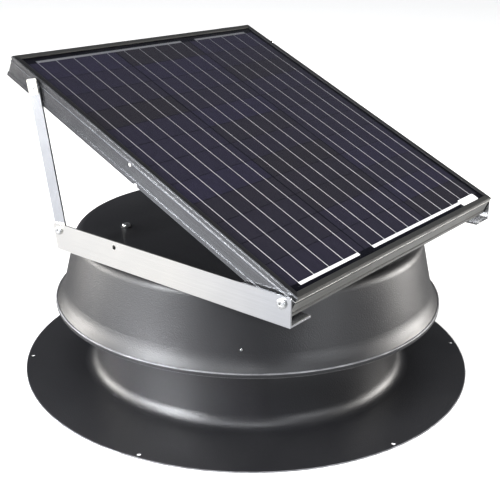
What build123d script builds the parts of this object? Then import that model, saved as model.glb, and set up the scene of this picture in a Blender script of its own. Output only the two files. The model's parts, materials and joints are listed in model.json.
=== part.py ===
"""Roof-mounted solar attic fan with a tilted solar panel, built as separate pieces.

Frame: origin at the centre of the flange's underside, +Z up, millimetres.
The low edge of the panel faces -Y, and the panel's width runs along X.
"""
import os
from math import atan2, cos, degrees, hypot, radians, sin, sqrt, tan

from build123d import *

# ---------------------------------------------------------------- driving dimensions
SHEET = 1.5                    # spun aluminium sheet
FLANGE_R = 330.0               # roof flange
FLANGE_HOLE_R = 322.5          # circle of the roof screws
FLANGE_HOLE_BORE = 3.0
FLANGE_HOLES = 6
FLANGE_HOLE_START = 14.0       # degrees
THROAT_R = 227.0               # outside of the throat
THROAT_TOP = 125.0
THROAT_FILLET = 17.0
THROAT_HEM = 3.0

HOOD_TOP = 204.0               # flat ring of the hood's top
HOOD_CROWN = 5.0               # rise of the hood's centre over that ring
HOOD_CROWN_R = (60.0, 150.0)   # the rise runs between these radii
HOOD_CROWN_FILLET = 500.0
HOOD_SHOULDER_R = 252.5        # where the top and the wall would meet
HOOD_SHOULDER_FILLET = 14.0
HOOD_WAIST = (271.6, 120.0)    # radius and height where the wall starts to flare
HOOD_FLARE_FILLET = 40.0
HOOD_RIM = (281.6, 106.5)
HEM_W = 3.6                    # rolled rim
HEM_H = 6.4
HEM_FILLET = 1.7

BRACKET_ANGLES = (45, 135, 225, 315)
BRACKET_W = 25.0
BRACKET_T = 2.5
BRACKET_FOOT = 82.0
BRACKET_BOLT_Z = (96.0, 117.6)
BRACKET_SHELF = 15.0           # reaches this far inside the hood bolts
BRACKET_BEND = 6.0
HOOD_BOLT_R = 180.0            # radius of the four bolts in the hood's top

SCREEN_Z = 119.0
SCREEN_T = 1.0
SCREEN_IN = 233.5
SCREEN_GAP = 1.0               # between the ring and the hood's wall
SCREEN_SLOT_RADII = (243.0, 258.5)
SCREEN_SLOTS = 60              # in each row
SCREEN_SLOT = (12.0, 7.0)
SCREEN_TAB = (24.0, 14.0)
SCREEN_SCREW_START = -143.5    # degrees, four screws a quarter turn apart
SCREEN_SCREW_Z = 133.0
SCREEN_SCREW_R = 1.75
SCREEN_SCREW_HEAD = (3.4, 2.0)
SCREEN_SCREW_L = 6.0
SEAL_T = 1.5
SEAL_R = 8.0
GROMMET_XY = (158.0, 90.0)     # lead hole in the hood's top
GROMMET_R = 9.0

MOUNT_Z = 109.0                # underside of the motor mount
MOUNT_T = 3.0
MOUNT_ARM_W = 30.0
MOUNT_RIB_H = 7.0
MOTOR_R = 48.0
MOTOR_H = 52.0
MOTOR_WALL = 3.0
MOTOR_CAP_H = 5.0
MOTOR_BOSS_H = 10.0
MOTOR_SCREW_AT = 34.0          # circle of the four screws through the mount
MOTOR_SCREW_R = 2.5
CAP_SCREW_AT = 36.0
CAP_SCREW_R = 2.0
VENTS = 36                     # slots in the motor's wall
VENT_W = 2.4
VENT_H = 34.0
CORE_RISE = 14.0               # of the stator over the motor's floor
CORE_H = 30.0
AIR_GAP = 0.8                  # between the magnets and the stator
SHAFT_R = 4.0
SHAFT_Z = (44.0, 175.0)
BEARING_R = 11.0
BEARING_W = 7.0
RUNNING_GAP = 0.05
ROTOR_R = 22.0
MAGNET_T = 3.0
MAGNETS = 8
TEETH = 9

FAN_R = 210.0
FAN_Z = 60.0
BLADES = 5
BLADE_T = 2.0
BLADE_STATIONS = ((30, 44, 3.0, 30), (110, 92, 7.5, 23), (214, 144, 10.4, 16))
HUB_R = 36.0
HUB_H = 26.0

PANEL_W = 499.0
PANEL_L = 520.0
PANEL_H = 30.0
TILT = 24.3                    # degrees at rest
PIVOT = (-248.0, 233.5)        # y and z of the front pivot bolts
PIVOT_U = 12.0                 # the pivot along the frame from its front end
PIVOT_N = 15.0                 # and above the frame's underside
STRUT_TOP_U = 465.0
STRUT_TOP_N = 16.0
FRAME_WALL = 2.0
FRAME_LIP = 9.0
FRAME_FOOT = 20.0
SHELF_TOP = 24.2
SLOT_TOP = 28.6
GLASS_T = 3.2
CELL_W = 156.0
CELL_H = 39.0
CELL_COLUMNS = 3
CELL_ROWS = 12
COLUMN_GAP = 2.5
ROW_GAP = 1.0
CELL_T = 0.3
BUSBARS = 5
BUSBAR_W = 1.0
RIBBON_W = 4.5
DRAIN_R = 2.2
SIDE_HOLE_U = 279.0
BOX_U = 430.0                  # junction box
BOX_W = 92.0
BOX_L = 62.0
BOX_H = 15.0
LABEL_W = 48.0
LABEL_L = 12.5
LABEL_X = 199.5
LABEL_U = 16.0

RAIL_T = 2.5
STRUT_T = 2.5
SIDE_GAP = 0.3                 # running gap on each face of a strut
RAIL_Z = 206.5
RAIL_H = 36.0
RAIL_LEG = 40.0
RAIL_FRONT = -260.0
RAIL_REAR = 133.0              # at the height of the strut's foot
RAIL_BOLTS_Y = (-60.0, 60.0)
RAIL_BOLT_X = 226.0
STRUT_W = 20.0
STRUT_FOOT = (122.0, 233.5)    # y and z
SPARE_HOLE = (18.0, 234.5)     # takes the strut's foot when the panel is set nearly flat
M6 = 3.0
M6_AF = 10.0                   # across the flats of an M6 nut
M6_NUT_H = 5.0
M6_HEAD = (5.6, 3.2)           # radius and height of a button head
HOOD_BOLT_HEAD = (6.0, 3.6)
PIVOT_HEAD = (6.2, 3.4)

# ---------------------------------------------------------------- derived places
THROAT_IN = THROAT_R - SHEET
BRACKET_FACE = sqrt(THROAT_IN ** 2 - (BRACKET_W / 2) ** 2) - 0.05
BRACKET_IN = BRACKET_FACE - BRACKET_T
WALL_LEAN = degrees(atan2(HOOD_WAIST[0] - HOOD_SHOULDER_R, HOOD_TOP - HOOD_WAIST[1]))
HUB_Z = FAN_Z - HUB_H / 2
FRAME_X = PANEL_W / 2
STRUT_X = FRAME_X + SIDE_GAP
RAIL_IN_X = STRUT_X + STRUT_T + SIDE_GAP
RAIL_X = RAIL_IN_X + RAIL_T
C_TILT = cos(radians(TILT))
S_TILT = sin(radians(TILT))
PANEL_Y0 = PIVOT[0] - PIVOT_U * C_TILT + PIVOT_N * S_TILT
PANEL_Z0 = PIVOT[1] - PIVOT_U * S_TILT - PIVOT_N * C_TILT
PANEL = Pos(0, PANEL_Y0, PANEL_Z0) * Rot(TILT, 0, 0)
STRUT_TOP = (PANEL_Y0 + STRUT_TOP_U * C_TILT - STRUT_TOP_N * S_TILT,
             PANEL_Z0 + STRUT_TOP_U * S_TILT + STRUT_TOP_N * C_TILT)
STRUT_DY = STRUT_TOP[0] - STRUT_FOOT[0]
STRUT_DZ = STRUT_TOP[1] - STRUT_FOOT[1]
STRUT_L = hypot(STRUT_DY, STRUT_DZ)
STRUT_ANGLE = degrees(atan2(STRUT_DZ, STRUT_DY))
STRUT_FOLD = 180 - STRUT_ANGLE
CELLS_W = CELL_COLUMNS * CELL_W + (CELL_COLUMNS - 1) * COLUMN_GAP
CELLS_L = CELL_ROWS * CELL_H + (CELL_ROWS - 1) * ROW_GAP
CELLS_U = (PANEL_L - CELLS_L) / 2
CELL_N = SLOT_TOP - GLASS_T - 0.6

nodes = {}


# ---------------------------------------------------------------- helpers
def disc(radius, height, z=0.0):
    """A cylinder standing on height z."""
    return Pos(0, 0, z) * Cylinder(radius, height, align=(Align.CENTER, Align.CENTER, Align.MIN))


def ring(outer, inner, height, z=0.0):
    return disc(outer, height, z) - disc(inner, height, z)


def block(x0, x1, y0, y1, z0, z1):
    return Pos((x0 + x1) / 2, (y0 + y1) / 2, (z0 + z1) / 2) * Box(x1 - x0, y1 - y0, z1 - z0)


def around(shape, angles):
    """Copies of a shape turned about Z."""
    return [Rot(0, 0, a) * shape for a in angles]


def group(shapes):
    """Separate solids kept together in one node."""
    return Compound(children=[s for shape in shapes for s in shape.solids()])


def spun(face):
    """A section drawn in radius and height, turned about Z."""
    return revolve(Plane.XZ * face, Axis.Z)


def pan_bolt(radius, head_r, head_h, length):
    """Button head over z = 0 with a hexagon socket, shank below it."""
    head = disc(head_r, head_h)
    head = fillet(head.edges().filter_by(GeomType.CIRCLE).sort_by(Axis.Z)[-1], head_h * 0.6)
    socket = Pos(0, 0, head_h * 0.4) * extrude(RegularPolygon(head_r * 0.42, 6), head_h)
    return head - socket + disc(radius, length, -length)


def hex_bolt(radius, flats, head_h, length):
    head = extrude(RegularPolygon(flats / 2, 6, major_radius=False), head_h)
    crown = Pos(0, 0, head_h) * Cone(flats * 0.9, flats * 0.45, flats * 0.32,
                                     align=(Align.CENTER, Align.CENTER, Align.MAX))
    return (head & (disc(flats, head_h * 0.7) + crown)) + disc(radius, length, -length)


def hex_nut(radius, flats, height):
    return extrude(RegularPolygon(flats / 2, 6, major_radius=False), height) - disc(radius, height)


def side_pair(shape):
    """A left-hand shape and its mirror image."""
    return group([shape, mirror(shape, about=Plane.YZ)])


def facing_left(x, y, z, shape):
    """A fastener whose head looks to -X, with its seat at x."""
    return Pos(x, y, z) * Rot(0, -90, 0) * shape


# ---------------------------------------------------------------- base and hood
def base_flashing():
    top = FilletPolyline((THROAT_R, THROAT_TOP), (THROAT_R, SHEET), (FLANGE_R, SHEET),
                         radius=THROAT_FILLET)
    under = FilletPolyline((FLANGE_R, 0), (THROAT_IN, 0), (THROAT_IN, THROAT_TOP),
                           radius=THROAT_FILLET + SHEET)
    rim = Line((FLANGE_R, SHEET), (FLANGE_R, 0))
    mouth = Line((THROAT_IN, THROAT_TOP), (THROAT_R, THROAT_TOP))
    body = spun(make_face([top, rim, under, mouth]))
    body += ring(THROAT_R + THROAT_HEM, THROAT_IN, SHEET, THROAT_TOP - SHEET)
    step = 360 / FLANGE_HOLES
    for i in range(FLANGE_HOLES):
        spot = Rot(0, 0, FLANGE_HOLE_START + step * i) * Pos(FLANGE_HOLE_R, 0, 0)
        body -= spot * disc(FLANGE_HOLE_BORE, SHEET)
    for a in BRACKET_ANGLES:
        for z in BRACKET_BOLT_Z:
            body -= Rot(0, 0, a) * Pos(THROAT_R, 0, z) * Rot(0, 90, 0) * Cylinder(M6, 4 * SHEET)
    return body


def hood_outline():
    return FilletPolyline(
        (0, HOOD_TOP + HOOD_CROWN),
        (HOOD_CROWN_R[0], HOOD_TOP + HOOD_CROWN),
        (HOOD_CROWN_R[1], HOOD_TOP),
        (HOOD_SHOULDER_R, HOOD_TOP),
        HOOD_WAIST,
        HOOD_RIM,
        radius=[HOOD_CROWN_FILLET, HOOD_CROWN_FILLET, HOOD_SHOULDER_FILLET, HOOD_FLARE_FILLET],
    )


def hood():
    skin = offset(hood_outline(), SHEET, side=Side.RIGHT)
    shell = spun(make_face(skin.edges()))
    hem = Pos(HOOD_RIM[0], HOOD_RIM[1] - HEM_H / 2 + SHEET) * RectangleRounded(HEM_W, HEM_H, HEM_FILLET)
    shell += spun(hem)
    top = HOOD_TOP + HOOD_CROWN
    for a in BRACKET_ANGLES:
        shell -= Rot(0, 0, a) * Pos(HOOD_BOLT_R, 0, 0) * disc(M6, top)
    for x in (-RAIL_BOLT_X, RAIL_BOLT_X):
        for y in RAIL_BOLTS_Y:
            shell -= Pos(x, y, 0) * disc(M6, top)
    shell -= Pos(*GROMMET_XY, 0) * disc(GROMMET_R, top)
    for hole in screen_screw_places():
        shell -= hole * Cylinder(SCREEN_SCREW_R, 10)
    return shell


def wall_radius(z):
    """Outside radius of the hood's straight wall at a height."""
    return HOOD_WAIST[0] - (z - HOOD_WAIST[1]) * tan(radians(WALL_LEAN))


def screen_screw_places():
    """Outside seats of the screen's screws, with +Z pointing out of the wall."""
    seat = Pos(wall_radius(SCREEN_SCREW_Z), 0, SCREEN_SCREW_Z) * Rot(0, 90 - WALL_LEAN, 0)
    return [Rot(0, 0, SCREEN_SCREW_START + 90 * i) * seat for i in range(4)]


def insect_screen():
    wall_in = wall_radius(SCREEN_Z + SCREEN_T) - SHEET / cos(radians(WALL_LEAN))
    screen = ring(wall_in - SCREEN_GAP, SCREEN_IN, SCREEN_T, SCREEN_Z)
    step = 360 / SCREEN_SLOTS
    slots = []
    for row, radius in enumerate(SCREEN_SLOT_RADII):
        slot = Pos(radius, 0, SCREEN_Z) * extrude(SlotOverall(*SCREEN_SLOT), SCREEN_T)
        slots += around(slot, [step * i + step / 2 * (row % 2) for i in range(SCREEN_SLOTS)])
    screen -= slots
    for place in screen_screw_places():
        # The tab lies flat behind the curved wall, so its two edges need a little room.
        tab = place * Pos(5.0, 0, -SHEET - SCREEN_T / 2 - 0.15) * Box(*SCREEN_TAB, SCREEN_T)
        screen += tab - disc(FLANGE_R, SCREEN_Z)
        screen -= place * Cylinder(SCREEN_SCREW_R, 10)
    return screen


def hood_bracket():
    """One bracket at angle 0: a leg inside the throat, and a shelf under the hood's top."""
    top = HOOD_TOP - SHEET
    path = FilletPolyline((BRACKET_FACE - BRACKET_T / 2, BRACKET_FOOT),
                          (BRACKET_FACE - BRACKET_T / 2, top - BRACKET_T / 2),
                          (HOOD_BOLT_R - BRACKET_SHELF, top - BRACKET_T / 2),
                          radius=BRACKET_BEND)
    band = make_face(offset(path, BRACKET_T / 2).edges())
    bracket = extrude(Plane.XZ * band, BRACKET_W / 2, both=True)
    for z in BRACKET_BOLT_Z:
        bracket -= Pos(BRACKET_FACE, 0, z) * Rot(0, 90, 0) * Cylinder(M6, 20)
    return bracket - Pos(HOOD_BOLT_R, 0, 0) * disc(M6, HOOD_TOP)


def bracket_fasteners():
    bolts = []
    nuts = []
    for z in BRACKET_BOLT_Z:
        inner = BRACKET_IN - (MOUNT_T if z < MOUNT_Z else 0)
        length = THROAT_R + M6_NUT_H + 0.6 - inner
        bolt = Pos(inner, 0, z) * Rot(0, -90, 0) * pan_bolt(M6, *M6_HEAD, length)
        nut = Pos(THROAT_R + 0.02, 0, z) * Rot(0, 90, 0) * hex_nut(M6, M6_AF, M6_NUT_H)
        bolts += around(bolt, BRACKET_ANGLES)
        nuts += around(nut, BRACKET_ANGLES)
    nodes["bracket_bolts"] = group(bolts)
    nodes["bracket_nuts"] = group(nuts)


def hood_fasteners():
    under = HOOD_TOP - SHEET - BRACKET_T
    length = HOOD_TOP + SEAL_T - under + M6_NUT_H + 3.5
    seal = Pos(HOOD_BOLT_R, 0, HOOD_TOP) * ring(SEAL_R, M6, SEAL_T)
    bolt = Pos(HOOD_BOLT_R, 0, HOOD_TOP + SEAL_T) * pan_bolt(M6, *HOOD_BOLT_HEAD, length)
    nut = Pos(HOOD_BOLT_R, 0, under - M6_NUT_H) * hex_nut(M6, M6_AF, M6_NUT_H)
    nodes["hood_bolt_seals"] = group(around(seal, BRACKET_ANGLES))
    nodes["hood_bolts"] = group(around(bolt, BRACKET_ANGLES))
    nodes["hood_bolt_nuts"] = group(around(nut, BRACKET_ANGLES))
    screw = pan_bolt(SCREEN_SCREW_R, *SCREEN_SCREW_HEAD, SCREEN_SCREW_L)
    nodes["screen_screws"] = group([place * screw for place in screen_screw_places()])


def cable_grommet():
    """Rubber grommet in the hood's top, with a blanked-off lead hole."""
    outline = make_face(Polyline(
        (0, -3.5), (GROMMET_R + 3, -3.5), (GROMMET_R + 3, -SHEET), (GROMMET_R, -SHEET),
        (GROMMET_R, 0), (GROMMET_R + 3, 0), (GROMMET_R + 2, 3.0), (4.5, 5.0), (3.5, 1.5), (0, 1.5),
        close=True))
    return Pos(*GROMMET_XY, HOOD_TOP) * spun(outline)


# ---------------------------------------------------------------- motor and fan
def motor_mount():
    """Cross of two bars with turned-down ends, bolted to the brackets."""
    plate = disc(MOTOR_R + 8, MOUNT_T, MOUNT_Z)
    tab_z = BRACKET_BOLT_Z[0] - 12
    arm = block(0, BRACKET_IN, -MOUNT_ARM_W / 2, MOUNT_ARM_W / 2, MOUNT_Z, MOUNT_Z + MOUNT_T)
    tab = block(BRACKET_IN - MOUNT_T, BRACKET_IN, -BRACKET_W / 2, BRACKET_W / 2,
                tab_z, MOUNT_Z + MOUNT_T)
    rib = block(MOTOR_R, BRACKET_IN - 12, -2, 2, MOUNT_Z - MOUNT_RIB_H, MOUNT_Z)
    hole = Pos(BRACKET_IN, 0, BRACKET_BOLT_Z[0]) * Rot(0, 90, 0) * Cylinder(M6, 12)
    for a in BRACKET_ANGLES:
        plate += Rot(0, 0, a) * (arm + tab + rib)
        plate -= Rot(0, 0, a) * hole
    plate -= disc(BEARING_R + 2, MOUNT_T, MOUNT_Z)
    for place in motor_screw_places():
        plate -= place * Cylinder(MOTOR_SCREW_R, 20)
    return plate


def motor_screw_places():
    return [Rot(0, 0, 90 * i) * Pos(MOTOR_SCREW_AT, 0, MOUNT_Z) for i in range(4)]


def motor_pieces():
    floor = MOUNT_Z + MOUNT_T
    top = floor + MOTOR_H
    cup = ring(MOTOR_R, MOTOR_R - MOTOR_WALL, MOTOR_H, floor)
    cup += ring(MOTOR_R - MOTOR_WALL, BEARING_R, BEARING_W + 3, floor)
    vent = Pos(MOTOR_R, 0, floor + MOTOR_H / 2 + 4) * Box(VENT_W, MOTOR_WALL, VENT_H)
    cup -= around(vent, [360 / VENTS * i for i in range(VENTS)])
    for place in motor_screw_places():
        cup -= place * Cylinder(MOTOR_SCREW_R, 24)
    nodes["motor_housing"] = cup
    screw = Rot(180, 0, 0) * pan_bolt(MOTOR_SCREW_R, 4.5, 2.8, 9.0)
    nodes["motor_screws"] = group([place * screw for place in motor_screw_places()])
    cap = ring(MOTOR_R, BEARING_R, MOTOR_CAP_H, top)
    cap += ring(BEARING_R + 5, BEARING_R, MOTOR_BOSS_H, top)
    cap += ring(MOTOR_R - MOTOR_WALL, MOTOR_R - MOTOR_WALL - 3, 3.0, top - 3)
    cap_holes = [Rot(0, 0, 45 + 90 * i) * Pos(CAP_SCREW_AT, 0, top) for i in range(4)]
    for place in cap_holes:
        cap -= place * Cylinder(CAP_SCREW_R, 12)
    cap -= Pos(-28, 0, top) * Cylinder(4.0, 12)
    nodes["motor_end_cap"] = cap
    cap_screw = Pos(0, 0, MOTOR_CAP_H) * pan_bolt(CAP_SCREW_R, 3.6, 2.2, MOTOR_CAP_H)
    nodes["motor_cap_screws"] = group([place * cap_screw for place in cap_holes])
    bearing = ring(BEARING_R, SHAFT_R + RUNNING_GAP, BEARING_W)
    bearing -= ring(BEARING_R - 2.2, SHAFT_R + 2.2, 0.6)
    bearing -= ring(BEARING_R - 2.2, SHAFT_R + 2.2, 0.6, BEARING_W - 0.6)
    nodes["motor_bearings"] = group([Pos(0, 0, floor + 1) * bearing, Pos(0, 0, top + 1) * bearing])
    core_z = floor + CORE_RISE
    bore = ROTOR_R + MAGNET_T + AIR_GAP
    stator = ring(MOTOR_R - MOTOR_WALL, 38.0, CORE_H, core_z)
    tooth = block(bore, 38.5, -4, 4, core_z, core_z + CORE_H)
    shoe = block(bore, bore + 2.0, -7, 7, core_z, core_z + CORE_H) - disc(bore, CORE_H, core_z)
    winding = block(bore + 2.5, 37.0, -7.4, 7.4, core_z - 2.5, core_z + CORE_H + 2.5)
    winding -= block(bore, 40.0, -4, 4, core_z, core_z + CORE_H)
    step = 360 / TEETH
    turns = [step * i for i in range(TEETH)]
    for piece in around(tooth + shoe, turns):
        stator += piece
    stator -= disc(bore, CORE_H, core_z)
    nodes["stator_core"] = stator
    nodes["stator_windings"] = group(around(winding, turns))
    nodes["rotor_core"] = ring(ROTOR_R, SHAFT_R, CORE_H, core_z)
    sector = 360 / MAGNETS - 4
    wedge = ring(ROTOR_R + MAGNET_T, ROTOR_R, CORE_H, core_z)
    for side in (1, -1):
        wedge -= Rot(0, 0, side * sector / 2) * block(-60, 60, min(0, 60 * side), max(0, 60 * side),
                                                      core_z, core_z + CORE_H)
    wedge &= block(0, 60, -30, 30, core_z, core_z + CORE_H)
    nodes["rotor_magnets"] = group(around(wedge, [360 / MAGNETS * i for i in range(MAGNETS)]))


def rotor_shaft():
    shaft = disc(SHAFT_R, SHAFT_Z[1] - SHAFT_Z[0], SHAFT_Z[0])
    return chamfer(shaft.edges().filter_by(GeomType.CIRCLE), 0.5)


def fan_hub():
    outline = make_face(Polyline(
        (SHAFT_R, 0), (HUB_R - 3, 0), (HUB_R, 3), (HUB_R, HUB_H), (HUB_R - 4, HUB_H),
        (HUB_R - 6, 8), (12, 8), (11, HUB_H), (SHAFT_R, HUB_H), close=True))
    hub = Pos(0, 0, HUB_Z) * spun(outline)
    hub -= [Rot(0, 0, a) * Pos(8, 0, HUB_Z + 18) * Rot(0, 90, 0) * Cylinder(2.0, 12)
            for a in (0, 90)]
    return hub


def hub_set_screws():
    screw = Pos(SHAFT_R, 0, HUB_Z + 18) * Rot(0, 90, 0) * disc(2.0, 6.0)
    return group(around(screw, (0, 90)))


def blade_section(radius, chord, camber, pitch):
    """Closed arched band across the blade at a radius, leading edge up."""
    plane = Plane(origin=(radius, 0, FAN_Z), x_dir=(0, cos(radians(pitch)), sin(radians(pitch))),
                  z_dir=(1, 0, 0))
    half = chord / 2
    upper = ThreePointArc((-half, BLADE_T / 2), (0, camber + BLADE_T / 2), (half, BLADE_T / 2))
    lower = ThreePointArc((half, -BLADE_T / 2), (0, camber - BLADE_T / 2), (-half, -BLADE_T / 2))
    ends = [Line((half, BLADE_T / 2), (half, -BLADE_T / 2)),
            Line((-half, -BLADE_T / 2), (-half, BLADE_T / 2))]
    return plane * make_face([upper, ends[0], lower, ends[1]])


def fan_blade():
    blade = loft([blade_section(*station) for station in BLADE_STATIONS])
    return blade & ring(FAN_R, HUB_R, 120, FAN_Z - 60)


# ---------------------------------------------------------------- rails and struts
def rail_left():
    """Angle rail: upright leg outside, flat leg on the hood, rear end cut along the strut."""
    lean = STRUT_DY / STRUT_DZ
    top_y = RAIL_REAR + (RAIL_Z + RAIL_H - STRUT_FOOT[1]) * lean
    low_y = RAIL_REAR - (STRUT_FOOT[1] - RAIL_Z) * lean
    side = make_face(FilletPolyline(
        (RAIL_FRONT, RAIL_Z), (RAIL_FRONT, RAIL_Z + RAIL_H), (top_y, RAIL_Z + RAIL_H),
        (low_y, RAIL_Z), close=True, radius=[0.6, 1.2, 4.0, 0.6]))
    upright = Pos(-RAIL_X, 0, 0) * extrude(Plane.YZ * side, RAIL_T)
    leg = block(-RAIL_X, -RAIL_X + RAIL_LEG, RAIL_FRONT, low_y - 6, RAIL_Z, RAIL_Z + RAIL_T)
    rail = upright + leg
    corner = rail.edges().filter_by(Axis.Y).sort_by_distance((-RAIL_IN_X, 0, RAIL_Z + RAIL_T))[0]
    rail = fillet(corner, 1.5)
    drill = Rot(0, 90, 0)
    rail -= Pos(-RAIL_X, *PIVOT) * drill * Cylinder(M6 + RUNNING_GAP * 2, 12)
    rail -= Pos(-RAIL_X, *STRUT_FOOT) * drill * Cylinder(M6, 12)
    rail -= Pos(-RAIL_X, *SPARE_HOLE) * drill * Cylinder(M6, 12)
    for y in RAIL_BOLTS_Y:
        rail -= Pos(-RAIL_BOLT_X, y, RAIL_Z) * Cylinder(M6, 12)
    return rail


def strut_left():
    """Flat bar with a round foot hole and a hooked slot that drops off the top bolt."""
    half = STRUT_W / 2
    end = STRUT_L + 10.0
    bar = make_face(FilletPolyline(
        (-9.5, -half), (end - 5, -half), (end, -4), (end, 4), (end - 5, half), (-9.5, half),
        close=True, radius=[4.0, 2.0, 2.0, 2.0, 2.0, 4.0]))
    # The bolt leaves the bar at this angle to its length as the panel starts down.
    fold_ratio = STRUT_FOLD / TILT
    bolt_y = (STRUT_TOP[1] - PIVOT[1]) + fold_ratio * STRUT_DZ
    bolt_z = -(STRUT_TOP[0] - PIVOT[0]) - fold_ratio * STRUT_DY
    exit_angle = degrees(atan2(bolt_z, bolt_y)) - STRUT_ANGLE
    slot_w = 2 * M6 + 1.2
    slot = Pos(STRUT_L, 0) * Rot(0, 0, exit_angle) * Pos(15, 0) * Rectangle(30, slot_w)
    slot += Pos(STRUT_L, 0) * Circle(slot_w / 2)
    bar -= slot
    bar -= Circle(M6 + RUNNING_GAP)
    plane = Plane(origin=(-STRUT_X - STRUT_T, *STRUT_FOOT),
                  x_dir=(0, cos(radians(STRUT_ANGLE)), sin(radians(STRUT_ANGLE))), z_dir=(1, 0, 0))
    return extrude(plane * bar, STRUT_T)


def rail_fasteners():
    seals = []
    bolts = []
    nuts = []
    for x in (-RAIL_BOLT_X, RAIL_BOLT_X):
        for y in RAIL_BOLTS_Y:
            seals.append(Pos(x, y, HOOD_TOP) * ring(8.5, M6, RAIL_Z - HOOD_TOP))
            bolts.append(Pos(x, y, RAIL_Z + RAIL_T) * hex_bolt(M6, M6_AF, 4.0, 15.0))
            nuts.append(Pos(x, y, HOOD_TOP - SHEET - M6_NUT_H) * hex_nut(M6, M6_AF, M6_NUT_H))
    nodes["rail_seals"] = group(seals)
    nodes["rail_bolts"] = group(bolts)
    nodes["rail_nuts"] = group(nuts)


def pivot_fasteners():
    wall = FRAME_X - FRAME_WALL
    reach = RAIL_X - wall + M6_NUT_H + 1
    pivot_bolt = facing_left(-RAIL_X - 0.1, *PIVOT, pan_bolt(M6, *PIVOT_HEAD, reach + 0.1))
    nodes["pivot_bolts"] = side_pair(pivot_bolt)
    spacer = facing_left(-RAIL_IN_X + 0.1, *PIVOT,
                         Pos(0, 0, -RAIL_IN_X + FRAME_X + 0.1) * ring(6.5, M6, RAIL_IN_X - FRAME_X - 0.1))
    nodes["pivot_spacers"] = side_pair(spacer)
    nut = hex_nut(M6, M6_AF, M6_NUT_H)
    pivot_nut = facing_left(-wall + M6_NUT_H, *PIVOT, nut)
    top_nut = facing_left(-wall + M6_NUT_H, *STRUT_TOP, nut)
    nodes["panel_nuts"] = group([side_pair(pivot_nut), side_pair(top_nut)])
    washer_x = STRUT_X + STRUT_T + 0.1
    washer = facing_left(-washer_x, *STRUT_TOP, ring(8.5, M6, 1.2))
    nodes["strut_top_washers"] = side_pair(washer)
    head_x = washer_x + 1.2
    top_bolt = pan_bolt(M6, *M6_HEAD, head_x - wall + M6_NUT_H + 1)
    nodes["strut_top_bolts"] = side_pair(facing_left(-head_x, *STRUT_TOP, top_bolt))
    foot_length = RAIL_X - STRUT_X - 0.1
    foot_screw = facing_left(-RAIL_X, *STRUT_FOOT, pan_bolt(M6, *M6_HEAD, foot_length))
    nodes["strut_foot_screws"] = side_pair(foot_screw)


# ---------------------------------------------------------------- solar panel
def frame_section():
    """Extrusion section: s runs inward from the outer face, n up from the underside."""
    inner = FRAME_WALL + 0.6
    recess = 0.8
    return make_face(Polyline(
        (0, 0), (0, 5.4), (recess, 6.2), (recess, 20.8), (0.1, 21.4), (0.1, 22.8), (recess, 23.4),
        (recess, 25.2), (0, 25.9), (0, 28.9), (1.1, PANEL_H), (FRAME_LIP - 0.6, PANEL_H),
        (FRAME_LIP, PANEL_H - 0.6), (FRAME_LIP, SLOT_TOP), (inner, SLOT_TOP), (inner, SHELF_TOP),
        (FRAME_LIP, SHELF_TOP), (FRAME_LIP, SHELF_TOP - 1.4), (FRAME_WALL, SHELF_TOP - 1.4),
        (FRAME_WALL, 1.6), (FRAME_FOOT, 1.6), (FRAME_FOOT, 0), close=True))


def frame_member(length):
    """One mitred member along +Y, outer face at x = 0, inside towards +X."""
    # Plane.XZ looks along -Y, so the section is pushed out backwards to run towards +Y.
    bar = extrude(Plane.XZ * frame_section(), -length)
    outline = Polyline((0, 0), (FRAME_FOOT, FRAME_FOOT), (FRAME_FOOT, length - FRAME_FOOT),
                       (0, length), close=True)
    return bar & extrude(make_face(outline), PANEL_H)


def frame_members():
    side = frame_member(PANEL_L)
    left = Pos(-FRAME_X, 0, 0) * side
    drill = Rot(0, 90, 0)
    for u, n, radius in ((PIVOT_U, PIVOT_N, M6), (STRUT_TOP_U, STRUT_TOP_N, M6),
                         (SIDE_HOLE_U, 18.5, 2.6)):
        left -= Pos(-FRAME_X, u, n) * drill * Cylinder(radius, 8)
    left -= Pos(-FRAME_X, PANEL_L / 2, 0) * drill * Cylinder(DRAIN_R * 1.6, 8)
    right = mirror(left, about=Plane.YZ)
    cross = frame_member(PANEL_W)
    front = Pos(FRAME_X, 0, 0) * Rot(0, 0, 90) * cross
    rear = Pos(-FRAME_X, PANEL_L, 0) * Rot(0, 0, -90) * cross
    for x in (-FRAME_X / 2, FRAME_X / 2):
        front -= Pos(x, FRAME_FOOT / 2 + 1, 0) * Cylinder(DRAIN_R, 5)
        rear -= Pos(x, PANEL_L - FRAME_FOOT / 2 - 1, 0) * Cylinder(DRAIN_R, 5)
    for name, shape in (("left", left), ("right", right), ("front", front), ("rear", rear)):
        nodes["frame_" + name] = PANEL * shape


def corner_keys():
    """Four angle keys on the frame's lower flange, one in each mitre."""
    arm = 28.0
    thick = 3.0
    high = 8.0
    low = 1.6
    keys = []
    for sx in (-1, 1):
        for at_rear in (False, True):
            x = sx * (FRAME_X - FRAME_WALL)
            y = PANEL_L - FRAME_WALL if at_rear else FRAME_WALL
            dy = -1 if at_rear else 1
            along_x = block(min(x, x - sx * arm), max(x, x - sx * arm),
                            min(y, y + dy * thick), max(y, y + dy * thick), low, low + high)
            along_y = block(min(x, x - sx * thick), max(x, x - sx * thick),
                            min(y, y + dy * arm), max(y, y + dy * arm), low, low + high)
            keys.append(PANEL * (along_x + along_y))
    return group(keys)


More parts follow.
